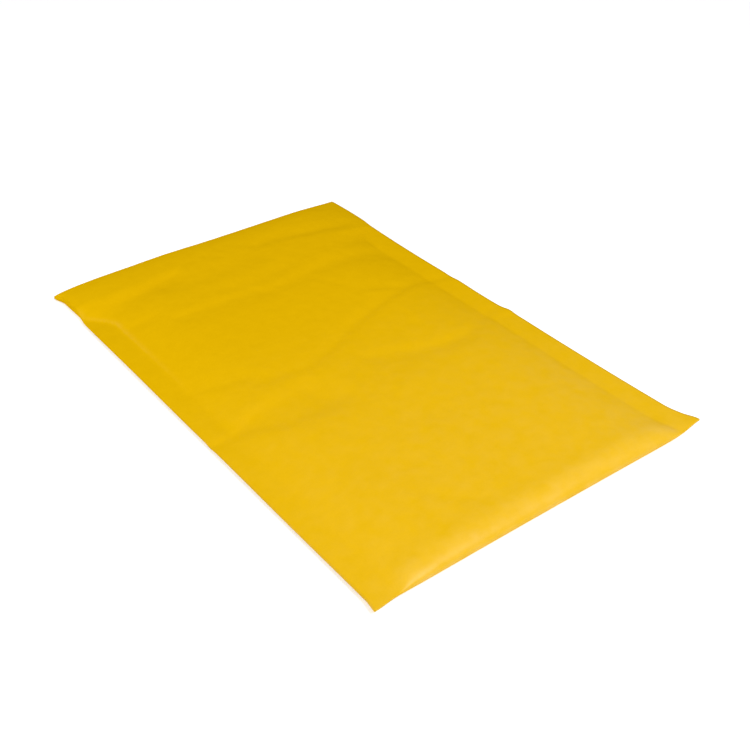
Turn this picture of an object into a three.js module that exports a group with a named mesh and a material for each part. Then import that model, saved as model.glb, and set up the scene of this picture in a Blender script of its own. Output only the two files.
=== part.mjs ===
// A padded mailing envelope, closed and lying face up.
// One web of paper lined with bubble film is folded at the bottom edge, seamed along both
// long sides, and its flap is turned under at the far end and glued to the back panel.
// Nothing shows of the inside, so the closed pack is one solid.
//
// Frame: X across, Y from the bottom fold to the flap fold, Z up, origin under the middle.

import * as THREE from "three";

// Overall size, in millimetres. The height is that of the padded middle.
const LENGTH = 235;
const WIDTH = 152;
const HEIGHT = 6.4;

// Pressed seams along the two long sides, held a little above the table by the padding.
const SEAM_WIDTH = 10.5;
const SEAM_THICKNESS = 0.8;
const SEAM_LIFT = 1.9;
const SEAM_WAVE = 0.2;
const WAVE_LENGTHS = [120, 195];

// Each seam ends short of the flap's fold. Its inner line turns out to the cut edge there, and
// beyond it the panels spring apart. Ends are counted from the fold.
const SEAM_END_LEFT = 30;
const SEAM_END_RIGHT = 35;
const SEAM_TURN_LEFT = 22;
const SEAM_TURN_RIGHT = 9;
const SPRING_LENGTH = 7;
const SPRING_FULLNESS = 0.5;

// The cut edges are drawn in between the corners, which stay out as flat ears.
const PULL_LEFT = 0.9;
const PULL_LEFT_OPEN = 1.7;
const PULL_RIGHT = 2.4;
const EAR_LENGTH = 7.5;
const EASE_RIGHT = 70;
const EAR_IN_LEFT = 0.2;
const EAR_IN_RIGHT = 0.7;
const EAR_BLEND_LEFT = 10.6;
const EAR_BLEND_RIGHT = 15.2;
const EAR_CURL_LEFT = 0.4;
const EAR_CURL_RIGHT = 1;

// How far in from a seam the top panel keeps rising, and the back panel lies clear of the table.
const TOP_SHOULDER = 30;
const BACK_SHOULDER = 18;

// The film's edge shows as a low step beside each seam, plainer towards the flap on the left.
const FOOT_STEP = 0.3;
const FOOT_ROUND = 2;
const FOOT_RIGHT_SHARE = 0.5;
const FOOT_GROWTH = { from: 80, over: 110 };
const FOOT_PUCKER = { from: 175, over: 25, share: 1.2 };

// Bottom fold: a padded roll with a low swell behind its crown. Its edge is set back at the left
// end, and furthest out near the right one.
const ROLL_LENGTH = 7.3;
const ROLL_UNDER = 5;
const ROLL_SWELL = 0.35;
const ROLL_SWELL_REACH = 5;
const ROLL_END = 20;
const ROLL_END_SHARE = 0.2;
const ROLL_IN_LEFT = 2.3;
const ROLL_BOW = 0.57;
const ROLL_OUT_PLACE = 0.9;

// Far end: the panels thin out towards the fold of the flap, least about a third of the way in.
const FOLD_TAPER = 17;
const FOLD_HEIGHT = 3.9;
const FOLD_SWELL = 0.7;
const FOLD_SWELL_PLACE = 0.33;
const FOLD_SWELL_REACH = 22;
const FOLD_LIFT = 1.65;
const FOLD_BLEND = 28;
const FOLD_NOSE = 2.6;

// The flap, turned under and glued to the back panel.
const FLAP_LENGTH = 40;
const FLAP_THICKNESS = 0.45;
const FLAP_EDGE = 0.2;
const FLAP_SETTLE = 24;

// Creases of the top panel. A course is a few points, as shares of the width and of the length.
// Depth, and the reach of the near and the far slope, are given for the course's start and end.
const CREASES = [
  {
    course: [
      [0.17, 0.507], [0.31, 0.498], [0.4, 0.5], [0.56, 0.545], [0.74, 0.585], [0.9, 0.605], [1.05, 0.57],
    ],
    depth: [0.4, 0.65],
    near: [3, 2.5],
    far: [5, 4],
  },
  {
    course: [[-0.05, 0.43], [0.09, 0.43], [0.17, 0.401], [0.23, 0.392], [0.41, 0.393]],
    depth: [0.8, 0.85],
    near: [5, 6],
    far: [5, 14],
  },
  {
    course: [[-0.05, 0.43], [0.09, 0.43], [0.14, 0.434], [0.23, 0.439], [0.36, 0.448]],
    depth: [0.9, 0.7],
    near: [4, 12],
    far: [3.5, 6],
  },
  {
    course: [[0.47, 0.454], [0.56, 0.436], [0.68, 0.408], [0.74, 0.403], [0.81, 0.409], [0.93, 0.46]],
    depth: [0.6, 0.75],
    near: [8, 3],
    far: [5, 3],
  },
  {
    course: [[0.17, 0.764], [0.27, 0.758], [0.43, 0.755], [0.52, 0.748]],
    depth: [0.5, 0.5],
    near: [4.5, 4],
    far: [3, 3.5],
  },
  {
    course: [[0.44, 0.742], [0.56, 0.742], [0.72, 0.756], [0.8, 0.755], [0.86, 0.751], [0.94, 0.742]],
    depth: [0.25, 0.75],
    near: [3, 6],
    far: [3, 7],
  },
  {
    course: [[0.02, 0.866], [0.08, 0.876], [0.19, 0.883], [0.29, 0.897], [0.36, 0.91]],
    depth: [1.3, 0.7],
    near: [8, 6],
    far: [5, 3],
  },
  {
    course: [[0.21, 0.864], [0.47, 0.863], [0.64, 0.872]],
    depth: [0.4, 0.25],
    near: [6, 6],
    far: [6, 6],
  },
  {
    course: [[0.55, 0.896], [0.72, 0.889], [0.8, 0.88], [0.88, 0.88], [1, 0.875]],
    depth: [0.35, 0.85],
    near: [3, 4],
    far: [4, 6],
  },
];
const CREASE_FADE = 0.06;
const CREASE_ON_SEAM = 0.4;

// Soft hollows and swells of the top panel: place as shares, reach in millimetres, height.
const SWELLS = [
  { at: [0.22, 0.235], reach: [14, 16], height: -0.45 },
  { at: [0.49, 0.265], reach: [9, 8], height: -0.35 },
  { at: [0.53, 0.35], reach: [12, 7], height: 0.4 },
];

// Ripples across the seams, where a crease has pushed them up or down: place as a share.
const RIPPLES = [
  { side: 1, at: 0.43, reach: 3.2, height: 0.55 },
  { side: -1, at: 0.425, reach: 2.5, height: -0.4 },
  { side: 1, at: 0.565, reach: 8, height: 0.3 },
];
const RIPPLE_FADE = 12;

// The first ripple also pushes the right cut edge out.
const KINK = 0.7;
const KINK_REACH = 3.5;

// Number of cells across and along each panel.
const TOP_CELLS = { seam: 3, shoulder: 4, middle: 28, roll: 8, length: 98, nose: 5 };
const BACK_CELLS = { seam: 2, shoulder: 3, middle: 6, roll: 4, length: 12, flap: 6, nose: 4 };

const PAPER_COLOUR = 0xefbb1c;
const PAPER_ROUGHNESS = 0.55;

const halfWidth = WIDTH / 2;
const halfLength = LENGTH / 2;
const seamTop = SEAM_LIFT + SEAM_THICKNESS;
const foldTop = FOLD_LIFT + SEAM_THICKNESS;
const flapEdgeY = halfLength - FLAP_LENGTH;

// What differs between the two long sides.
const leftSide = {
  pull: PULL_LEFT,
  openPull: PULL_LEFT_OPEN,
  ease: EAR_LENGTH,
  seamEndY: halfLength - SEAM_END_LEFT,
  turn: SEAM_TURN_LEFT,
  curl: EAR_CURL_LEFT,
};
const rightSide = {
  pull: PULL_RIGHT,
  openPull: PULL_RIGHT,
  ease: EASE_RIGHT,
  seamEndY: halfLength - SEAM_END_RIGHT,
  turn: SEAM_TURN_RIGHT,
  curl: EAR_CURL_RIGHT,
};
const sideAt = (x) => (x < 0 ? leftSide : rightSide);

const clamp01 = (value) => Math.min(Math.max(value, 0), 1);
const mix = (a, b, share) => a + (b - a) * share;

function smooth(value) {
  const t = clamp01(value);
  return t * t * (3 - 2 * t);
}

// A quarter ellipse: 0 at the edge with an upright start, 1 and level at the full reach.
const nose = (distance, reach) => Math.sqrt(1 - (1 - clamp01(distance / reach)) ** 2);

// A quarter of a parabola's arch: 0 and steepest at the start, 1 and level at the full reach.
const arch = (distance, reach) => 1 - (1 - clamp01(distance / reach)) ** 2;

// A hump that is 1 at its middle and fades over its reach.
const hump = (distance, reach) => Math.exp(-((distance / reach) ** 2));

// Plan outline: how far a cut edge is drawn in from the full width.
function drawnIn(y, side) {
  const open = smooth((y - side.seamEndY) / SPRING_LENGTH);
  const ends = smooth((y + halfLength) / EAR_LENGTH) * smooth((halfLength - y) / side.ease);
  return mix(side.pull, side.openPull, open) * ends;
}

const leftEdge = (y) => drawnIn(y, leftSide) - halfWidth;

function rightEdge(y) {
  const kink = KINK * hump(y + halfLength - RIPPLES[0].at * LENGTH, KINK_REACH);
  return halfWidth - drawnIn(y, rightSide) + kink;
}

// The bottom fold: the roll comes out along a parabola, and a flat ear stays at each end.
function nearEdge(x) {
  const out = clamp01((x + halfWidth) / WIDTH / ROLL_OUT_PLACE);
  const roll = ROLL_IN_LEFT * (1 - out) * (1 + ROLL_BOW * out);
  const leftEar = 1 - smooth((x + halfWidth) / EAR_BLEND_LEFT);
  const rightEar = 1 - smooth((halfWidth - x) / EAR_BLEND_RIGHT);
  return mix(mix(roll, EAR_IN_LEFT, leftEar), EAR_IN_RIGHT, rightEar) - halfLength;
}

// Width of the pressed seam: full along most of its length, and a quarter ellipse at its end.
function seamWidth(y, side) {
  const turned = clamp01((y - side.seamEndY) / side.turn + 1);
  return SEAM_WIDTH * Math.sqrt(1 - turned ** 2);
}

// Distances from a point to the seams' inner lines and to the two folds.
function distances(x, y) {
  const left = x - leftEdge(y) - seamWidth(y, leftSide);
  const right = rightEdge(y) - x - seamWidth(y, rightSide);
  return {
    seam: Math.max(Math.min(left, right), 0),
    near: Math.max(y - nearEdge(x), 0),
    far: Math.max(halfLength - y, 0),
  };
}

// The slope of a course at each of its points: the mean of the two runs that meet there.
function tangents(course) {
  const slopes = course.slice(1).map(([x, y], k) => (y - course[k][1]) / (x - course[k][0]));
  const last = slopes.length - 1;
  return course.map((_, k) => (slopes[Math.max(k - 1, 0)] + slopes[Math.min(k, last)]) / 2);
}

// A smooth line through a crease's few points: share of the length at a share of the width.
function courseAt(course, share) {
  let k = 0;
  while (k < course.length - 2 && share > course[k + 1][0]) k += 1;
  const [x0, y0] = course[k];
  const [x1, y1] = course[k + 1];
  const [start, end] = tangents(course).slice(k, k + 2).map((slope) => slope * (x1 - x0) - (y1 - y0));
  const t = clamp01((share - x0) / (x1 - x0));
  return mix(y0, y1, t) + t * (1 - t) * ((1 - t) * start - t * end);
}

// Depth of one crease at a point: a valley with its own slope on each side, fading at its ends.
function creaseDepth(crease, x, y) {
  const share = (x + halfWidth) / WIDTH;
  const start = crease.course[0][0];
  const end = crease.course.at(-1)[0];
  const along = clamp01((share - start) / (end - start));
  const fade = smooth(Math.min(share - start, end - share) / CREASE_FADE);
  const across = y + halfLength - courseAt(crease.course, share) * LENGTH;
  const reach = across < 0 ? mix(...crease.near, along) : mix(...crease.far, along);
  return mix(...crease.depth, along) * fade * hump(across, reach);
}

function swellHeight(swell, x, y) {
  const acrossX = x + halfWidth - swell.at[0] * WIDTH;
  const acrossY = y + halfLength - swell.at[1] * LENGTH;
  return swell.height * hump(acrossX, swell.reach[0]) * hump(acrossY, swell.reach[1]);
}

function rippleHeight(ripple, x, y) {
  const outwards = smooth((ripple.side * x - halfWidth) / RIPPLE_FADE + 1);
  return ripple.height * outwards * hump(y + halfLength - ripple.at * LENGTH, ripple.reach);
}

const total = (values) => values.reduce((sum, value) => sum + value, 0);

// Height of the pressed seams' upper face, which wave a little and curl up at the bottom ears.
function seamFace(x, y, near) {
  const [first, second] = WAVE_LENGTHS.map((length) => (2 * Math.PI * y) / length);
  const wave = SEAM_WAVE * Math.sin(first) * Math.sin(second + x / WIDTH);
  const onSeam = smooth((Math.abs(x) - halfWidth) / SEAM_WIDTH + 1);
  const curl = sideAt(x).curl * smooth(1 - near / EAR_LENGTH) * onSeam;
  return seamTop + wave + curl + total(RIPPLES.map((ripple) => rippleHeight(ripple, x, y)));
}

// The low step of the film's edge.
function footStep(x, y, seam) {
  const along = y + halfLength;
  const grown = smooth((along - FOOT_GROWTH.from) / FOOT_GROWTH.over);
  const puckered = FOOT_PUCKER.share * smooth((along - FOOT_PUCKER.from) / FOOT_PUCKER.over);
  const share = mix(grown + puckered, FOOT_RIGHT_SHARE, smooth(x / WIDTH + 0.5));
  return FOOT_STEP * share * (1 - Math.exp(-seam / FOOT_ROUND));
}

// Swells less creases.
function relief(x, y, near) {
  const rollSwell = ROLL_SWELL * hump(near - ROLL_LENGTH, ROLL_SWELL_REACH);
  const swells = total(SWELLS.map((swell) => swellHeight(swell, x, y)));
  return rollSwell + swells - total(CREASES.map((crease) => creaseDepth(crease, x, y)));
}

// Height of the padding under the top panel, which thins out towards the flap's fold.
function crown(x, far) {
  const swell = FOLD_SWELL * hump(x + halfWidth - FOLD_SWELL_PLACE * WIDTH, FOLD_SWELL_REACH);
  return mix(FOLD_HEIGHT + swell, HEIGHT, arch(far, FOLD_TAPER));
}

// Upper face of the envelope.
function topHeight(x, y) {
  const d = distances(x, y);
  const shoulder = arch(d.seam, TOP_SHOULDER);
  const sprung = smooth((y - sideAt(x).seamEndY) / SPRING_LENGTH);
  const fullness = mix(shoulder, mix(SPRING_FULLNESS, 1, shoulder), sprung);
  const face = mix(foldTop, seamFace(x, y, d.near), smooth(d.far / FOLD_BLEND));
  const padded = (crown(x, d.far) - face) * fullness + footStep(x, y, d.seam);
  const creased = relief(x, y, d.near) * mix(CREASE_ON_SEAM, 1, fullness);
  const rolled = nose(d.near, ROLL_LENGTH * smooth(d.seam / ROLL_END + ROLL_END_SHARE));
  return face + (padded + creased) * rolled * nose(d.far, FOLD_NOSE);
}

// Lower face: flat on the table in the middle, lifted at the seams and folds, with the flap's step.
function backHeight(x, y, underFlap) {
  const d = distances(x, y);
  const seamBack = seamFace(x, y, d.near) - SEAM_THICKNESS;
  const face = mix(FOLD_LIFT, seamBack, smooth(d.far / FOLD_BLEND));
  const settled = nose(d.seam, BACK_SHOULDER) * nose(d.near, ROLL_UNDER) * nose(d.far, FOLD_NOSE);
  const step = FLAP_THICKNESS * smooth((y - flapEdgeY) / FLAP_SETTLE + 1);
  const flap = underFlap ? FLAP_THICKNESS : 0;
  return Math.max(mix(face, step - flap, settled), 0);
}

// Shares from 0 to 1 in equal steps, without the last one.
const steps = (count) => Array.from({ length: count }, (_, k) => k / count);

// Lines of a panel across the width: seam, shoulder, middle, shoulder, seam, from 0 to 1.
function columnShares(cells) {
  const seam = SEAM_WIDTH / WIDTH;
  const shoulder = seam + TOP_SHOULDER / 2 / WIDTH;
  const half = [
    ...steps(cells.seam).map((t) => t * seam),
    ...steps(cells.shoulder).map((t) => mix(seam, shoulder, t)),
  ];
  const middle = steps(cells.middle).map((t) => mix(shoulder, 1 - shoulder, t));
  const mirrored = half.map((t) => 1 - t).reverse();
  return [...half, ...middle, 1 - shoulder, ...mirrored];
}

// Lines of a panel along the length: closer together round the bottom fold and the flap fold.
const roundSteps = (count) => steps(count).map((t) => 1 - Math.cos((t * Math.PI) / 2));

function topRows() {
  const roll = (ROLL_LENGTH + ROLL_SWELL_REACH / 2) / LENGTH;
  const fold = 1 - FOLD_NOSE / LENGTH;
  return [
    ...roundSteps(TOP_CELLS.roll).map((t) => t * roll),
    ...steps(TOP_CELLS.length).map((t) => mix(roll, fold, t)),
    ...roundSteps(TOP_CELLS.nose + 1).slice(1).map((t) => 1 - t * (1 - fold)).reverse(),
    1,
  ];
}

function backRows() {
  const roll = ROLL_UNDER / LENGTH;
  const flap = 1 - FLAP_LENGTH / LENGTH;
  const fold = 1 - FOLD_NOSE / LENGTH;
  return [
    ...roundSteps(BACK_CELLS.roll).map((t) => t * roll),
    ...steps(BACK_CELLS.length).map((t) => mix(roll, flap, t)),
    flap,
    flap + FLAP_EDGE / LENGTH,
    ...steps(BACK_CELLS.flap).slice(1).map((t) => mix(flap, fold, t)),
    ...roundSteps(BACK_CELLS.nose + 1).slice(1).map((t) => 1 - t * (1 - fold)).reverse(),
    1,
  ];
}

// A panel as rows of points: the plan is a grid stretched between the four edges.
function panelPoints(columns, rows, heightAt) {
  return rows.map((v) => columns.map((u) => {
    const y = mix(nearEdge(mix(-halfWidth, halfWidth, u)), halfLength, v);
    const x = mix(leftEdge(y), rightEdge(y), u);
    return new THREE.Vector3(x, y, heightAt(x, y, v));
  }));
}

// Collects triangles with shared corners.
class Shell {
  positions = [];
  index = [];

  add(point) {
    this.positions.push(point.x, point.y, point.z);
    return this.positions.length / 3 - 1;
  }

  // A grid of points, facing up, or down when turned over.
  panel(points, down) {
    const ids = points.map((row) => row.map((point) => this.add(point)));
    for (let j = 1; j < ids.length; j += 1) {
      for (let i = 1; i < ids[j].length; i += 1) {
        const [a, b, c, d] = [ids[j - 1][i - 1], ids[j - 1][i], ids[j][i], ids[j][i - 1]];
        const corners = down ? [a, c, b, a, d, c] : [a, b, c, a, c, d];
        this.index.push(...corners);
      }
    }
    return ids;
  }

  // The narrow wall between an upper and a lower border, walked side by side.
  wall(upper, lower) {
    let i = 0;
    let j = 0;
    while (i < upper.length - 1 || j < lower.length - 1) {
      const upperNext = (i + 1) / (upper.length - 1);
      const lowerNext = (j + 1) / (lower.length - 1);
      if (j === lower.length - 1 || (i < upper.length - 1 && upperNext <= lowerNext)) {
        this.index.push(upper[i], lower[j], upper[i + 1]);
        i += 1;
      } else {
        this.index.push(upper[i], lower[j], lower[j + 1]);
        j += 1;
      }
    }
  }

  geometry() {
    const geometry = new THREE.BufferGeometry();
    geometry.setAttribute("position", new THREE.Float32BufferAttribute(this.positions, 3));
    geometry.setIndex(this.index);
    geometry.computeVertexNormals();
    return geometry;
  }
}

// The four borders of a panel, each run anticlockwise as seen from above.
function borders(ids) {
  const right = ids.map((row) => row.at(-1));
  const left = ids.map((row) => row[0]);
  return [ids[0], right, [...ids.at(-1)].reverse(), left.reverse()];
}

function envelopeGeometry() {
  const shell = new Shell();
  const flapStart = 1 - FLAP_LENGTH / LENGTH;
  const backAt = (x, y, v) => backHeight(x, y, v > flapStart);
  const top = shell.panel(panelPoints(columnShares(TOP_CELLS), topRows(), topHeight), false);
  const back = shell.panel(panelPoints(columnShares(BACK_CELLS), backRows(), backAt), true);
  const lower = borders(back);
  borders(top).forEach((upper, side) => shell.wall(upper, lower[side]));
  return shell.geometry();
}

const paper = new THREE.MeshStandardMaterial({
  color: PAPER_COLOUR,
  roughness: PAPER_ROUGHNESS,
  metalness: 0,
});

const envelope = new THREE.Mesh(envelopeGeometry(), paper);
envelope.name = "padded_envelope";

const model = new THREE.Group();
model.add(envelope);

export default model;
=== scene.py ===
# %% [markdown]
# A padded mailing envelope, closed and lying face up on a pale table.
#
# The real thing is one web of yellow paper with bubble film bonded to its inside. The web is
# folded at the bottom, pressed together along both long sides, and its flap is turned under at
# the far end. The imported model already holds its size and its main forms. This script gives it
# the fine surface: the soft padding, the creases, the faint bubbles and the paper itself.
#
# Lengths are millimetres until a mesh is made of them, and MM turns them into Blender's metres.
# Left and right are as seen from the bottom fold. Near is towards that fold, far is towards the
# flap's fold.

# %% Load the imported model
import math

import bpy
import numpy as np
from mathutils import Euler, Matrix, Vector


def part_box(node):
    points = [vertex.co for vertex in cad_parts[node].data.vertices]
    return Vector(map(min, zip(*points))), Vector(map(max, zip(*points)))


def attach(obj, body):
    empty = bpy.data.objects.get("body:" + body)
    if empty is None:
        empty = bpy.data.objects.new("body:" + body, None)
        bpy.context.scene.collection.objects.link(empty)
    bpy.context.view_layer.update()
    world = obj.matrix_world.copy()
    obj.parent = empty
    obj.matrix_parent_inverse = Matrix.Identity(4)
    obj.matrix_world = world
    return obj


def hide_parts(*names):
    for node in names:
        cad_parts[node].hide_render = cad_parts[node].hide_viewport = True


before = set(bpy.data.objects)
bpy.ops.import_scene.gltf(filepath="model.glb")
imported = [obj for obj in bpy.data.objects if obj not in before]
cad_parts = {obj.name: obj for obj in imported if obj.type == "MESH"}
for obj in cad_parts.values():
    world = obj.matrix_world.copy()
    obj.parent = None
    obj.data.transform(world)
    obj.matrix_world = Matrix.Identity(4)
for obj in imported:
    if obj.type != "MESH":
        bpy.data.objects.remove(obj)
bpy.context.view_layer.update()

MM = 0.001
cad_high = np.array(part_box("padded_envelope")[1]) / MM
WIDTH, LENGTH = 2 * cad_high[:2]
HALF_WIDTH, HALF_LENGTH = cad_high[:2]
print("envelope, mm:", round(WIDTH, 1), round(LENGTH, 1), round(cad_high[2], 2))

# %% [markdown]
# The camera comes first, because everything else is judged through it. It stands to the left
# of the bottom fold and looks down along the envelope. A camera can be aimed by an empty and a
# constraint, but three plain angles are easier to read and to change.

# %% Camera at the photograph's viewing angle
CAMERA_AT = Vector((-207.2, -289.6, 244.3)) * MM
CAMERA_TURN = math.radians(-37.328)
CAMERA_DOWN = math.radians(35.378)
CAMERA_ROLL = math.radians(-0.433)
CAMERA_LENS = 50.63
CAMERA_SENSOR = 36.0
CAMERA_CLIP = 10 * MM

camera_data = bpy.data.cameras.new("camera")
camera_data.lens = CAMERA_LENS
camera_data.sensor_width = CAMERA_SENSOR
camera_data.clip_start = CAMERA_CLIP
camera = bpy.data.objects.new("camera", camera_data)
bpy.context.scene.collection.objects.link(camera)
aim = Euler((math.pi / 2 - CAMERA_DOWN, 0, CAMERA_TURN)).to_matrix()
camera.rotation_euler = (aim @ Euler((0, 0, CAMERA_ROLL)).to_matrix()).to_euler()
camera.location = CAMERA_AT
bpy.context.scene.camera = camera
print("camera distance, mm:", round(CAMERA_AT.length / MM))

# %% [markdown]
# A material is a graph of nodes. The nodes could be placed and joined one by one, but shader
# maths reads best as plain arithmetic. So one small class wraps a socket, and each operator on
# it adds the Math node for it: `0.5 + fibre * 0.12` builds its part of the graph.

# %% Arithmetic on sockets
def feed(tree, socket, value):
    """Links a field to a socket, or gives the socket a plain value."""
    if isinstance(value, Field):
        tree.links.new(value.socket, socket)
    else:
        socket.default_value = value


class Field:
    """A number that varies over the surface. Arithmetic on it adds Math nodes."""

    def __init__(self, tree, socket):
        self.tree = tree
        self.socket = socket

    def _math(self, operation, other):
        node = self.tree.nodes.new("ShaderNodeMath")
        node.operation = operation
        for socket, term in zip(node.inputs, (self, other)):
            feed(self.tree, socket, term)
        return Field(self.tree, node.outputs[0])

    def __add__(self, other):
        return self._math("ADD", other)

    def __mul__(self, other):
        return self._math("MULTIPLY", other)

    __radd__ = __add__
    __rmul__ = __mul__


# %% Any other node
class Graph:
    """A material or world node tree, with one method that adds any node."""

    def __init__(self, owner):
        owner.use_nodes = True
        self.tree = owner.node_tree
        self.tree.nodes.clear()

    def add(self, kind, settings=None, **sockets):
        """Adds a node, sets its own settings first, and then its sockets, by value or by link."""
        node = self.tree.nodes.new(kind)
        for name, value in (settings or {}).items():
            setattr(node, name, value)
        for name, value in sockets.items():
            feed(self.tree, node.inputs[name.replace("_", " ")], value)
        return node

    def out(self, node, name=0):
        """One output of a node, ready for arithmetic or for another node's socket."""
        return Field(self.tree, node.outputs[name])

    def mix_colour(self, share, first, second):
        """A colour between two colours, by a share."""
        node = self.add("ShaderNodeMix", {"data_type": "RGBA"})
        sockets = [s for s in node.inputs if s.enabled]
        for socket, value in zip(sockets, (share, first, second)):
            feed(self.tree, socket, value)
        return Field(self.tree, next(s for s in node.outputs if s.enabled))


# %% [markdown]
# The shape is a height over the plan. It could be sculpted, but a height that is worked out from
# the place can be measured, and changed by one number. Four small curves do most of the work: a
# smooth step, the quarter ellipse of a folded edge, the arch of a soft shoulder, and a hump that
# fades away.

# %% Curves that the shape is made of
def smooth(value):
    """A soft step: 0 below 0, 1 above 1, and between them three squares less two cubes."""
    t = np.clip(value, 0, 1)
    return t * t * (3 - 2 * t)


def nose(distance, reach):
    """A quarter ellipse: upright at the edge, and level where the distance is the reach."""
    return np.sqrt(1 - (1 - np.clip(distance / reach, 0, 1)) ** 2)


def arch(distance, reach, power=2):
    """Half an arch: steepest at the edge, and level where the distance is the reach. It is 1
    less a power of what is left of the reach, and power 2 is a parabola."""
    return 1 - (1 - np.clip(distance / reach, 0, 1)) ** power


def hump(distance, reach):
    """A bell curve: 1 in the middle, about a third where the distance is the reach."""
    return np.exp(-((distance / reach) ** 2))


def mix(first, second, share):
    """The first value plus a share, from 0 to 1, of the way to the second."""
    return first + (second - first) * share


print("half way along, step:", smooth(0.5), "nose:", round(float(nose(0.5, 1)), 3),
      "arch:", arch(0.5, 1), "hump:", round(float(hump(0.5, 1)), 3))

# %% [markdown]
# In plan the envelope is nearly a rectangle. The cut edges are drawn in a little between the
# corners, so that the corners stay out as flat ears, and the padded bottom fold comes out
# further towards its right end. A flat sheet could be trimmed to this outline. Here each edge is
# a function of its own, so that the rows and columns of the mesh follow it.
#
# Many values differ between the two long sides. Each such pair is written as left and right.

# %% Cut edges in plan
PULL = (0.9, 2.4)             # how far a cut edge is drawn in
PULL_OPEN = (1.7, 2.4)        # the same, past the place where its seam opens
PULL_STEP = (30, 35)          # that place, from the flap's fold
NEAR_EASE = (7.5, 15)         # over which an edge comes back out to its near corner
FAR_EASE = (7.5, 85)          # and to its far corner
SPRING_LENGTH = 7             # over which a seam opens
KINK = 0.7                    # a ripple pushes the right cut edge out
KINK_AT = 0.42                # its place, as a share of the length
KINK_REACH = (18, 5.5)        # its near and far slope


def sprung(y, end):
    """How far a seam has opened: a soft step that starts at a distance from the flap's fold."""
    return smooth((y - HALF_LENGTH + end) / SPRING_LENGTH)


def drawn_in(y, side):
    """How far a cut edge is drawn in: its pull, times a soft step away from either corner."""
    ends = smooth((y + HALF_LENGTH) / NEAR_EASE[side]) * smooth((HALF_LENGTH - y) / FAR_EASE[side])
    return mix(PULL[side], PULL_OPEN[side], sprung(y, PULL_STEP[side])) * ends


def left_edge(y):
    """The left cut edge's place across the width."""
    return drawn_in(y, 0) - HALF_WIDTH


def right_edge(y):
    """The right cut edge's place, with a hump that is steeper on its far side."""
    along = y + HALF_LENGTH - KINK_AT * LENGTH
    return HALF_WIDTH - drawn_in(y, 1) + KINK * hump(along, np.where(along < 0, *KINK_REACH))


print("width at mid-length, mm:", round(float(right_edge(0.0) - left_edge(0.0)), 2))

# %% Edge of the bottom fold in plan
ROLL_IN_LEFT = 2.3            # how far the roll is drawn in at its left end
ROLL_BOW = 0.57
ROLL_OUT_PLACE = 0.9          # where it is all the way out, as a share of the width
EAR_IN = (1.2, 0.7)           # how far the flat ear at each end is drawn in
EAR_BLEND = (10.6, 15.2)


def near_edge(x):
    """The bottom fold's edge: the roll comes out along a parabola, between two flat ears."""
    out = np.clip((x + HALF_WIDTH) / WIDTH / ROLL_OUT_PLACE, 0, 1)
    roll = ROLL_IN_LEFT * (1 - out) * (1 + ROLL_BOW * out)
    left_ear = 1 - smooth((x + HALF_WIDTH) / EAR_BLEND[0])
    right_ear = 1 - smooth((HALF_WIDTH - x) / EAR_BLEND[1])
    return mix(mix(roll, EAR_IN[0], left_ear), EAR_IN[1], right_ear) - HALF_LENGTH


print("roll drawn in at mid-width, mm:", round(float(near_edge(0.0) + HALF_LENGTH), 2))

# %% [markdown]
# The seams are pressed flat and full along most of their length. Towards the flap's fold their
# inner lines turn out to the cut edges in half an arch. They could be strips of their own, but
# on the real envelope they are the same paper as the panels, so they are part of the one height.
# A point's distances to those lines and to the two folds are all that the heights are made of.

# %% Seams in plan
SEAM_WIDTH = (9.6, 10.5)
SEAM_END = (26, 35)           # from the flap's fold
SEAM_TURN = (16, 12)          # over which a seam narrows to its end


def seam_width(y, side):
    """Full, and then an arch down to nothing at the seam's end."""
    return SEAM_WIDTH[side] * arch(HALF_LENGTH - SEAM_END[side] - y, SEAM_TURN[side])


def distances(x, y):
    """Distances to the nearer seam's inner line, to the bottom fold and to the flap's fold, and
    0 outside each line."""
    left = x - left_edge(y) - seam_width(y, 0)
    right = right_edge(y) - x - seam_width(y, 1)
    seam, near, far = np.minimum(left, right), y - near_edge(x), HALF_LENGTH - y
    return [np.maximum(distance, 0) for distance in (seam, near, far)]


print("seams at mid-length, mm:", [round(float(seam_width(0.0, side)), 2) for side in (0, 1)])

# %% Height of the pressed seams
SEAM_THICKNESS = 0.8
SEAM_LIFT = 1.9               # off the table
SEAM_TOP = SEAM_LIFT + SEAM_THICKNESS
SEAM_WAVE = 0.2
WAVE_LENGTHS = (120, 195)
EAR_LENGTH = 7.5
EAR_CURL = (0.4, 1.0)
RIPPLES = [                   # side, place as a share of the length, reach, height
    (1, 0.43, 3.2, 0.55),
    (-1, 0.425, 2.5, -0.4),
    (1, 0.565, 8, 0.3),
]
RIPPLE_FADE = 12


def ripple_height(ripple, x, y):
    """A short hump along a seam, which grows from the seam's inner line to its cut edge."""
    side, at, reach, height = ripple
    outwards = smooth((side * x - HALF_WIDTH) / RIPPLE_FADE + 1)
    return height * outwards * hump(y + HALF_LENGTH - at * LENGTH, reach)


def seam_face(x, y, near):
    """Height of the pressed seam's upper face, plus the product of two slow waves, the curl of
    the ears and the ripples."""
    first, second = (2 * math.pi * y / length for length in WAVE_LENGTHS)
    wave = SEAM_WAVE * np.sin(first) * np.sin(second + x / WIDTH)
    on_seam = smooth((np.abs(x) - HALF_WIDTH) / SEAM_WIDTH[1] + 1)
    curl = np.where(x < 0, *EAR_CURL) * smooth(1 - near / EAR_LENGTH) * on_seam
    return SEAM_TOP + wave + curl + sum(ripple_height(ripple, x, y) for ripple in RIPPLES)


print("seam's upper face, mm:", round(SEAM_TOP, 2), "with", len(RIPPLES), "ripples")

# %% [markdown]
# The creases are valleys where the top panel has buckled. A cloth simulation would make creases
# too, but at places of its own. So each one here is a course of a few points, as shares of the
# width and of the length, with a depth and a reach of its near and far slope, all given for the
# course's start and end. One table and one function make them all. The first nine nearly follow
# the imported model's courses, most of them deeper. The others are too fine for that model.

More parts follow.
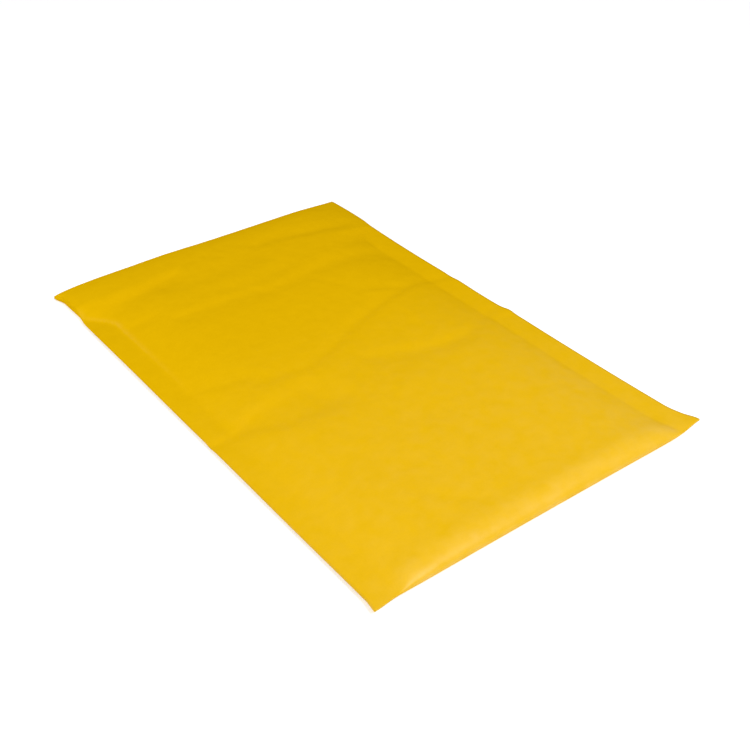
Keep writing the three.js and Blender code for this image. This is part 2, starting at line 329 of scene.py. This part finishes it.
# %% Courses of the creases
CREASES = [                   # course, depth, reach of the near slope, reach of the far slope
    ([(0.17, 0.507), (0.31, 0.498), (0.4, 0.5), (0.56, 0.545), (0.74, 0.585), (0.9, 0.605),
      (1.05, 0.57)], (0.4, 0.75), (4, 2.5), (5, 4)),
    ([(0.04, 0.43), (0.1, 0.428), (0.17, 0.401), (0.23, 0.392), (0.41, 0.393)],
     (0.7, 1.1), (5, 6), (5, 14)),
    ([(0.04, 0.43), (0.1, 0.431), (0.14, 0.434), (0.23, 0.439), (0.36, 0.448)],
     (0.7, 1.1), (4, 12), (3, 6)),
    ([(0.47, 0.454), (0.56, 0.436), (0.68, 0.408), (0.74, 0.403), (0.81, 0.409), (0.92, 0.45),
      (0.99, 0.46)], (0.6, 1.0), (8, 3), (5, 2)),
    ([(0.17, 0.764), (0.27, 0.758), (0.43, 0.755), (0.52, 0.748)],
     (0.6, 0.5), (7, 6), (3, 3.5)),
    ([(0.44, 0.742), (0.56, 0.742), (0.72, 0.756), (0.8, 0.755), (0.86, 0.751), (0.96, 0.735)],
     (0.3, 1.2), (5, 8), (3, 7)),
    ([(-0.04, 0.86), (0.08, 0.876), (0.19, 0.883), (0.29, 0.897), (0.36, 0.91)],
     (2, 1.1), (9, 7), (5, 3)),
    ([(0.21, 0.864), (0.47, 0.863), (0.64, 0.872)],
     (0.4, 0.4), (6, 6), (6, 6)),
    ([(0.55, 0.903), (0.66, 0.906), (0.74, 0.899), (0.82, 0.886), (0.9, 0.879), (0.97, 0.886)],
     (0.5, 0.8), (3.5, 4), (4, 6)),
    ([(0.02, 0.798), (0.08, 0.8), (0.13, 0.797), (0.2, 0.796)],
     (0.8, 0.5), (4, 4), (3, 3)),
    ([(0.35, 0.792), (0.44, 0.788), (0.51, 0.784), (0.58, 0.795), (0.65, 0.814)],
     (0.4, 0.35), (4, 4), (5, 5)),
    ([(0.02, 0.565), (0.1, 0.557), (0.16, 0.54), (0.25, 0.524)],
     (0.5, 0.4), (3, 3), (6, 6)),
    ([(0.69, 0.639), (0.76, 0.62), (0.84, 0.607)],
     (0.35, 0.5), (2.5, 2.5), (5, 5)),
    ([(-0.02, 0.424), (0.04, 0.424), (0.08, 0.427), (0.11, 0.436), (0.16, 0.45)],
     (1, 0.6), (6, 5), (1.5, 1.5)),
    ([(0.24, 0.152), (0.35, 0.084), (0.44, 0.042)],
     (0.15, 0.2), (4, 4), (3, 3)),
    ([(0.59, 0.766), (0.64, 0.711), (0.7, 0.655)],
     (0.12, 0.08), (3, 3), (5, 5)),
]
print("creases:", len(CREASES), "deepest, mm:", max(max(crease[1]) for crease in CREASES))

# %% Valleys along the courses
CREASE_FADE = 0.06            # over which a course's ends fade, as a share of the width


def course_at(course, share):
    """A smooth cubic through the course's points, whose slope at a point is the mean of the
    slopes of its two runs."""
    points = np.array(course)
    run, rise = np.diff(points, axis=0).T
    slope = rise / run
    tangent = np.concatenate([slope[:1], (slope[:-1] + slope[1:]) / 2, slope[-1:]])
    line = np.full_like(share, points[0, 1])
    for k in range(len(run)):
        t = np.clip((share - points[k, 0]) / run[k], 0, 1)
        start, end = tangent[k : k + 2] * run[k] - rise[k]
        line = line + rise[k] * t + t * (1 - t) * ((1 - t) * start - t * end)
    return line


def crease_depth(crease, x, y):
    """A bell-shaped valley about the crease's line, with its own slope on each side."""
    course, depth, near, far = crease
    share = (x + HALF_WIDTH) / WIDTH
    start, end = course[0][0], course[-1][0]
    along = np.clip((share - start) / (end - start), 0, 1)
    fade = smooth(np.minimum(share - start, end - share) / CREASE_FADE)
    across = y + HALF_LENGTH - course_at(course, share) * LENGTH
    reach = np.where(across < 0, mix(*near, along), mix(*far, along))
    return mix(*depth, along) * fade * hump(across, reach)


longest = max(CREASES, key=lambda crease: crease[0][-1][0] - crease[0][0][0])
middle_of_it = float(course_at(longest[0], np.float64(0.5))) * LENGTH
print("longest crease at mid-width, mm from the bottom fold:", round(middle_of_it, 1))

# %% Swells and hollows
SWELLS = [                    # place in shares, reach across and along, height
    ((0.22, 0.235), (14, 16), -0.45),
    ((0.49, 0.265), (9, 8), -0.35),
    ((0.53, 0.35), (12, 7), 0.4),
    ((0.32, 0.193), (6, 6), -0.2),
    ((0.74, 0.515), (1.5, 12), 0.08),
]


def swell_height(swell, x, y):
    """A soft round rise or hollow about its place: the product of two bell curves."""
    (at_x, at_y), (reach_x, reach_y), height = swell
    across = hump(x + HALF_WIDTH - at_x * WIDTH, reach_x)
    return height * across * hump(y + HALF_LENGTH - at_y * LENGTH, reach_y)


print("swells and hollows:", len(SWELLS))

# %% [markdown]
# Bubble film is a lattice of small domes, six round each one. The paper bridges them, so only
# a faint quilting shows. Three cosine waves, a third of a turn apart, add up to just that
# lattice, which is cheaper than a dome for each bubble.

# %% Bubbles under the paper
BUBBLE_PITCH = 11.0
BUBBLE_ROWS = BUBBLE_PITCH * math.sin(math.pi / 3)
BUBBLE_TURNS = [math.radians(angle) for angle in (30, 90, 150)]
BUBBLE_RELIEF = 0.03


def bubbles(x, y):
    """Mean of three cosine waves at 30, 90 and 150 degrees, whose crests meet at each bubble."""
    wave = 2 * math.pi / BUBBLE_ROWS
    waves = (np.cos(wave * (x * math.cos(t) + y * math.sin(t))) for t in BUBBLE_TURNS)
    return sum(waves) / len(BUBBLE_TURNS)


print("bubbles across the width:", round(WIDTH / BUBBLE_PITCH, 1))

# %% [markdown]
# Across the width, the padding rises from the seams in a soft shoulder, with a low step where
# the film's edge lies under the paper. Along the length it starts with the round of the bottom
# fold and thins out towards the flap's fold. Cloth under pressure would round off in the same
# way, but this paper is stiff and holds its own shape, which a sum of curves can follow. Each
# face is the height of the pressed paper plus what the padding adds, so the two faces meet in
# the seams and folds without any fitting.

# %% Step of the film's edge
FOOT_STEP = 0.3
FOOT_ROUND = 2
FOOT_RIGHT_SHARE = 0.5
FOOT_GROWTH = (80, 110)       # on the left it grows: from where, and over what length
FOOT_PUCKER = (175, 25)       # and then puckers: from where, and over what length
FOOT_PUCKER_SHARE = 1.2


def foot_step(x, y, seam):
    """The step rises as an exponential from the seam's inner line. Its share is the same all
    along on the right, and grows on the left towards the flap."""
    along = y + HALF_LENGTH
    grown = smooth((along - FOOT_GROWTH[0]) / FOOT_GROWTH[1])
    puckered = FOOT_PUCKER_SHARE * smooth((along - FOOT_PUCKER[0]) / FOOT_PUCKER[1])
    share = mix(grown + puckered, FOOT_RIGHT_SHARE, smooth((x + HALF_WIDTH) / WIDTH))
    return FOOT_STEP * share * (1 - np.exp(-seam / FOOT_ROUND))


print("film's step at the right seam, mm:", FOOT_STEP * FOOT_RIGHT_SHARE)

# %% Crown and relief of the padding
HEIGHT = 6.4
ROLL_LENGTH = 7.3             # the round of the bottom fold
ROLL_SWELL = 0.35             # and a rise behind it
ROLL_SWELL_REACH = 5
FOLD_HEIGHT = 3.9             # of the padding at the flap's fold
FOLD_TAPER = 17
FOLD_TAPER_POWER = 3
FOLD_SWELL = 0.7
FOLD_SWELL_PLACE = 0.36
FOLD_SWELL_REACH = 17


def relief(x, y, near):
    """Swells, bubbles and the rise behind the roll, less the creases."""
    rise = ROLL_SWELL * hump(near - ROLL_LENGTH, ROLL_SWELL_REACH) + BUBBLE_RELIEF * bubbles(x, y)
    rise = rise + sum(swell_height(swell, x, y) for swell in SWELLS)
    return rise - sum(crease_depth(crease, x, y) for crease in CREASES)


def crown(x, far):
    """Height of the padding: full in the middle, and an arch down to the flap's fold, which has
    a hump at about a third of its width."""
    swell = FOLD_SWELL * hump(x + HALF_WIDTH - FOLD_SWELL_PLACE * WIDTH, FOLD_SWELL_REACH)
    return mix(FOLD_HEIGHT + swell, HEIGHT, arch(far, FOLD_TAPER, FOLD_TAPER_POWER))


print("padding, mm:", HEIGHT, "at the flap's fold:", round(float(crown(0.0, 0.0)), 2))

# %% Height of the upper face
TOP_SHOULDER = 30             # over which the padding rises from a seam
SPRING_FULLNESS = (0.5, 0.12)  # how full the cut edge is where its seam has opened
ROLL_FULLNESS = 0.4           # how much more upright the roll is at its ends
ROLL_RISE = 7
ROLL_UPRIGHT = 2 * ROLL_LENGTH
ROLL_END = 14                 # over which the roll gets its full length
ROLL_END_SHARE = 0.7          # the share of it that it starts with
FOLD_LIFT = 1.65
FOLD_DROOP = 0.7
FOLD_DROOP_REACH = 14
FOLD_BLEND = 28
FOLD_NOSE = 2.6
CREASE_ON_SEAM = 0.4          # how much of the relief is left on the pressed seams


def fold_lift(x):
    """How far the flap's fold is off the table. Its left corner hangs a little."""
    return FOLD_LIFT - FOLD_DROOP * hump(x + HALF_WIDTH, FOLD_DROOP_REACH)


def top_height(x, y):
    """Pressed height, plus the padding's crown times its fullness and the round of both folds.
    The fullness is an arch from each seam, and more than that on the roll."""
    seam, near, far = distances(x, y)
    springs = [full * sprung(y, end) for full, end in zip(SPRING_FULLNESS, SEAM_END)]
    shoulder = mix(np.where(x < 0, *springs), 1, arch(seam, TOP_SHOULDER))
    upright = ROLL_FULLNESS * smooth(seam / ROLL_RISE) * (1 - smooth(near / ROLL_UPRIGHT))
    fullness = mix(shoulder, 1, upright)
    face = mix(fold_lift(x) + SEAM_THICKNESS, seam_face(x, y, near), smooth(far / FOLD_BLEND))
    padded = (crown(x, far) - face) * fullness + foot_step(x, y, seam)
    creased = relief(x, y, near) * mix(CREASE_ON_SEAM, 1, fullness)
    rolled = nose(near, ROLL_LENGTH * smooth(seam / ROLL_END + ROLL_END_SHARE))
    return face + (padded + creased) * rolled * nose(far, FOLD_NOSE)


print("upper face in the very middle, mm:", round(float(top_height(0.0, 0.0)), 2))

# %% Height of the back
ROLL_UNDER = 5
BACK_SHOULDER = 18
FLAP_LENGTH = 40
FLAP_THICKNESS = 0.45
FLAP_SETTLE = 24              # over which the back rises to lie on the flap
FLAP_EDGE_Y = HALF_LENGTH - FLAP_LENGTH


def back_height(x, y, level):
    """Flat on the table in the middle, and quarter ellipses up to the pressed height at seams
    and folds. Level 0 is the back panel, 1 the flap under it."""
    seam, near, far = distances(x, y)
    face = mix(fold_lift(x), seam_face(x, y, near) - SEAM_THICKNESS, smooth(far / FOLD_BLEND))
    settled = nose(seam, BACK_SHOULDER) * nose(near, ROLL_UNDER) * nose(far, FOLD_NOSE)
    step = FLAP_THICKNESS * smooth((y - FLAP_EDGE_Y) / FLAP_SETTLE + 1)
    return np.maximum(mix(face, step - FLAP_THICKNESS * level, settled), 0)


print("back beside the flap's edge, mm:", round(float(back_height(0.0, FLAP_EDGE_Y, 0)), 2))

# %% [markdown]
# The mesh is two grids, one for each face, with a narrow wall between their borders. A Solidify
# modifier could thicken one sheet, but here the two faces have different shapes. Rows lie closer
# together round the folds. On the back, a few extra rows run under the flap's free edge and out
# again, so that the edge is a real lip of paper and not a drawn line.

# %% Rows and columns of the grids
COLUMNS = 160
ROWS = 300
FOLD_ROWS = 14
FLAP_LIP = [                  # distance past the flap's free edge, level
    (-0.5, 0), (0.0, 0), (1.4, 0), (1.4, 0.4), (0.0, 0.4), (-0.05, 0.7), (0.0, 1), (0.5, 1),
]


def fold_rows(reach):
    """Distances from a fold, closer together at its edge, as equal steps round a quarter
    circle."""
    return reach * (1 - np.cos(np.linspace(0, math.pi / 2, FOLD_ROWS)))


def top_rows():
    """Distances from the bottom fold: its round, the long middle, and the round of the flap's
    fold. All of them are on level 0."""
    near = fold_rows(ROLL_LENGTH)
    far = LENGTH - fold_rows(FOLD_NOSE)[::-1]
    middle = np.linspace(near[-1], far[0], ROWS - 2 * FOLD_ROWS + 2)
    rows = np.concatenate([near, middle[1:-1], far])
    return rows, np.zeros(ROWS)


def back_rows():
    """The same number of rows, of which a few go round the lip of the flap."""
    near = fold_rows(ROLL_UNDER)
    far = LENGTH - fold_rows(FOLD_NOSE)[::-1]
    lip = np.array(FLAP_LIP)
    flap_at = LENGTH - FLAP_LENGTH
    free = ROWS - 2 * FOLD_ROWS - len(lip)
    after = round(free * FLAP_LENGTH / LENGTH)
    before = np.linspace(near[-1], flap_at + lip[0, 0], free - after + 2)[1:-1]
    behind = np.linspace(flap_at + lip[-1, 0], far[0], after + 2)[1:-1]
    rows = np.concatenate([near, before, flap_at + lip[:, 0], behind, far])
    panel, flap = np.zeros(FOLD_ROWS + len(before)), np.ones(after + FOLD_ROWS)
    return rows, np.concatenate([panel, lip[:, 1], flap])


print("rows and columns of each face:", len(back_rows()[0]), COLUMNS)

# %% Points and quads of a grid
def face_grid(rows, level, height_at):
    """A grid stretched between the four edges, as arrays of x, y and height."""
    u, v = np.meshgrid(np.linspace(0, 1, COLUMNS), rows / LENGTH)
    y = mix(near_edge(mix(-HALF_WIDTH, HALF_WIDTH, u)), HALF_LENGTH, v)
    x = mix(left_edge(y), right_edge(y), u)
    return np.stack([x, y, height_at(x, y, np.broadcast_to(level[:, None], x.shape))], axis=-1)


def grid_ids(first):
    """The numbers of a grid's points, row by row from the given first number."""
    return first + np.arange(ROWS * COLUMNS).reshape(ROWS, COLUMNS)


def grid_faces(first, down):
    """Quads between neighbouring points, turned round where the face looks down."""
    ids = grid_ids(first)
    quads = np.stack([ids[:-1, :-1], ids[:-1, 1:], ids[1:, 1:], ids[1:, :-1]], axis=-1)
    quads = quads.reshape(-1, 4)
    return quads[:, ::-1] if down else quads


def border(first):
    """The grid's border points in one loop, anticlockwise from above."""
    ids = grid_ids(first)
    return np.concatenate([ids[0, :-1], ids[:-1, -1], ids[-1, :0:-1], ids[:0:-1, 0]])


def wall_faces(upper, lower):
    """Quads between two border loops."""
    return np.stack([lower, np.roll(lower, -1), np.roll(upper, -1), upper], axis=-1)


print("quads in each face:", len(grid_faces(0, False)), "and in the wall:", len(border(0)))

# %% One closed mesh
def make_mesh(name, points, faces):
    """A mesh object from an array of points in millimetres and an array of quads."""
    mesh = bpy.data.meshes.new(name)
    mesh.from_pydata((points * MM).tolist(), [], faces.tolist())
    mesh.update()
    mesh.polygons.foreach_set("use_smooth", np.ones(len(faces), bool))
    thing = bpy.data.objects.new(name, mesh)
    bpy.context.scene.collection.objects.link(thing)
    return thing


top = face_grid(*top_rows(), lambda x, y, level: top_height(x, y))
back = face_grid(*back_rows(), back_height)
count = ROWS * COLUMNS
points = np.concatenate([top.reshape(-1, 3), back.reshape(-1, 3)])
faces = np.concatenate([
    grid_faces(0, False),
    grid_faces(count, True),
    wall_faces(border(0), border(count)),
])
envelope = make_mesh("padded_envelope_paper", points, faces)
print("triangles:", 2 * len(faces), "crown, mm:", round(float(top[..., 2].max()), 2))

# %% [markdown]
# The paper carries a painted sheen: a glossy coat that is full on the bottom fold, where the
# highlights fall, and dies away behind it. A narrow line of it runs at the foot of the left seam.
# A texture could be painted for that, but the mesh is already a grid of known distances, so each
# point simply keeps its share of sheen as a number.

# %% Painted sheen of the folded edge
# Shares of painted sheen: on the roll, behind it, on the seams and at the left seam's foot.
SHINE_ON_ROLL = 1.0
SHINE_ROLL_SHARE = 0.5        # how much of the roll's length has that shine
SHINE_AT_EAR = 0.35
SHINE_BEHIND = 0.5
SHINE_REACH = 160
SHINE_ON_SEAM = 0.8
SHINE_SEAM_BLEND = 4
SHINE_ON_FOOT = 0.45          # on a line at the left seam's foot
SHINE_FOOT_GROWTH = (110, 110)  # from where, and over what length
FOOT_LINE = (0.8, 1.2)        # how far inside the seam's inner line it is, and its reach


def shine(x, y, on_top):
    """Share of painted sheen: a soft step down from full on the roll to less behind it, less still
    on the seams, and the hump of a narrow line at the left seam's foot."""
    seam, near = distances(x, y)[:2]
    off_seam = smooth(seam / SHINE_SEAM_BLEND)
    behind = SHINE_BEHIND * smooth(1 - near / SHINE_REACH) * mix(SHINE_ON_SEAM, 1, off_seam)
    line = SHINE_ON_FOOT * hump(seam - FOOT_LINE[0], FOOT_LINE[1]) * smooth(seam / FOOT_LINE[0])
    grown = smooth((y + HALF_LENGTH - SHINE_FOOT_GROWTH[0]) / SHINE_FOOT_GROWTH[1])
    pressed = line * on_top * (x < 0) * grown * (1 - sprung(y, SEAM_END[0]))
    past_roll = smooth(near / ROLL_LENGTH - SHINE_ROLL_SHARE)
    on_roll = (1 - past_roll) * mix(SHINE_AT_EAR, 1, off_seam)
    return mix(np.maximum(behind, pressed), SHINE_ON_ROLL, on_roll)


# Each point keeps its share of painted sheen in a point attribute, which the paper's coat reads.
shares = shine(points[:, 0], points[:, 1], np.arange(len(points)) < count)
painted_sheen = envelope.data.attributes.new("painted_sheen", "FLOAT", "POINT")
painted_sheen.data.foreach_set("value", shares)
print("mean share of shine:", round(float(shares.mean()), 3))

# %% [markdown]
# The paper is yellow kraft with a matt face: cloudy where the pulp lies thicker, with fine
# short fibres in all directions. A picture of paper could be wrapped round it, but it would
# stretch and show its joins at the folds. The clouds and the fibres are noise on Object
# coordinates instead, so they have real sizes and stay put in every view. A thin coat carries
# the painted sheen, and the same noise that buckles the face makes it patchy.

# %% Paper
PAPER_LIGHT = (0.925, 0.545, 0.002, 1)
PAPER_DEEP = (0.81, 0.47, 0.0, 1)
PAPER_ROUGHNESS = 0.5
CLOUD_SIZE, CLOUD_DETAIL = 4.0 * MM, 3.0
CLOUD_SHARE = 0.5             # of the colour's variation. The fibres have the rest
FIBRE_SIZE, FIBRE_DETAIL = 0.6 * MM, 4.0
FIBRE_HEIGHT = 0.010 * MM
FIBRE_ROUGHNESS = 0.12
BUCKLE_SIZE, BUCKLE_DETAIL = 6.0 * MM, 4.0
BUCKLE_HEIGHT = 0.24 * MM
SHEEN_PATCHES = 2.0          # noise has a mean of a half, so twice it keeps the mean sheen
SHEEN_ROUGHNESS = 0.5


def noise(graph, place, size, detail):
    """Noise between 0 and 1 whose largest features have the given size."""
    return graph.out(graph.add("ShaderNodeTexNoise", Vector=place, Scale=1 / size, Detail=detail))


def paper_material():
    """Clouds and fibres in the colour, a matt face, a coat of painted sheen, and a bump of
    fine buckles.
    """
    material = bpy.data.materials.new("yellow_kraft_paper")
    graph = Graph(material)
    place = graph.out(graph.add("ShaderNodeTexCoord"), "Object")
    cloud = noise(graph, place, CLOUD_SIZE, CLOUD_DETAIL)
    fibre = noise(graph, place, FIBRE_SIZE, FIBRE_DETAIL)
    buckle = noise(graph, place, BUCKLE_SIZE, BUCKLE_DETAIL)
    variation = cloud * CLOUD_SHARE + fibre * (1 - CLOUD_SHARE)
    height = buckle * BUCKLE_HEIGHT + fibre * FIBRE_HEIGHT
    painted_sheen_share = graph.out(graph.add("ShaderNodeAttribute", {"attribute_name": "painted_sheen"}), "Fac")
    surface = graph.add(
        "ShaderNodeBsdfPrincipled",
        Base_Color=graph.mix_colour(variation, PAPER_DEEP, PAPER_LIGHT),
        Roughness=PAPER_ROUGHNESS + fibre * FIBRE_ROUGHNESS,
        Specular_IOR_Level=0.0,
        # The coat weight is painted sheen: full on the roll, fading behind it, patchy by the
        # buckle noise.
        Coat_Weight=painted_sheen_share * (buckle * SHEEN_PATCHES),
        Coat_Roughness=SHEEN_ROUGHNESS,
        Normal=graph.out(graph.add("ShaderNodeBump", Strength=1.0, Distance=1.0, Height=height)),
    )
    graph.add("ShaderNodeOutputMaterial", Surface=graph.out(surface))
    print("nodes in the paper:", len(graph.tree.nodes))
    return material


envelope.data.materials.append(paper_material())
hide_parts("padded_envelope")
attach(envelope, "root")

# %% [markdown]
# The table is a wide pale floor. Stronger lamps could burn it out to white, but they would burn
# out the paper too. A small constant glow, which only the camera and reflections see, lifts it
# to white in the open instead, while the envelope's shadow still darkens it.

# %% Table and background
WHITE = (1, 1, 1, 1)
BLACK = (0, 0, 0, 1)
FLOOR_SIZE = 1600
FLOOR_COLOUR = (0.92, 0.92, 0.92, 1)
FLOOR_ROUGHNESS = 0.9
FLOOR_GLOW = 0.5


def seen_directly(graph):
    """1 for rays from the camera, from a glossy surface or through glass, and 0 for the rays
    that carry the light itself."""
    path = graph.add("ShaderNodeLightPath")
    seen = graph.out(path, "Is Camera Ray") + graph.out(path, "Is Glossy Ray")
    return seen + graph.out(path, "Is Transmission Ray")


def floor_material():
    """Matt and nearly white, with a glow for the rays that see it directly."""
    material = bpy.data.materials.new("pale_floor")
    graph = Graph(material)
    surface = graph.add(
        "ShaderNodeBsdfPrincipled",
        Base_Color=FLOOR_COLOUR,
        Roughness=FLOOR_ROUGHNESS,
        Emission_Color=graph.mix_colour(seen_directly(graph), BLACK, WHITE),
        Emission_Strength=FLOOR_GLOW,
    )
    graph.add("ShaderNodeOutputMaterial", Surface=graph.out(surface))
    return material


corners = np.array([(-1, -1, 0), (1, -1, 0), (1, 1, 0), (-1, 1, 0)]) * FLOOR_SIZE / 2
floor = make_mesh("floor", corners, np.array([(0, 1, 2, 3)]))
floor.data.materials.append(floor_material())
print("floor, mm:", FLOOR_SIZE)

# %% [markdown]
# The light is a plain studio: a square lamp high in front of the bottom fold, a weaker and
# lower one from the far left, and an even grey world that fills the rest. The world alone would
# be simpler, but it leaves the creases flat. The low side lamp is what draws them.

# %% Light
WORLD_STRENGTH = 0.3
LAMP_SIZE = 0.3
LAMPS = [                     # name, place in metres, power in watts
    ("key", (0.03, -0.55, 0.70), 4.84),
    ("side", (-0.675, 0.30, 0.40), 1.94),
]


def make_world():
    """An even fill for the object, and white for whatever the camera sees past the floor."""
    world = bpy.data.worlds.new("studio")
    bpy.context.scene.world = world
    graph = Graph(world)
    strength = WORLD_STRENGTH + seen_directly(graph) * (1 - WORLD_STRENGTH)
    background = graph.add("ShaderNodeBackground", Color=WHITE, Strength=strength)
    graph.add("ShaderNodeOutputWorld", Surface=graph.out(background))


def add_lamp(name, at, power):
    """A soft square lamp that faces the middle of the envelope."""
    data = bpy.data.lights.new(name, "AREA")
    data.shape = "SQUARE"
    data.size = LAMP_SIZE
    data.energy = power
    lamp = bpy.data.objects.new(name, data)
    bpy.context.scene.collection.objects.link(lamp)
    lamp.location = at
    lamp.rotation_euler = (-Vector(at)).to_track_quat("-Z", "Y").to_euler()
    print("lamp:", name, power, "W")


make_world()
for lamp_row in LAMPS:
    add_lamp(*lamp_row)
bpy.context.scene.view_settings.view_transform = "Standard"
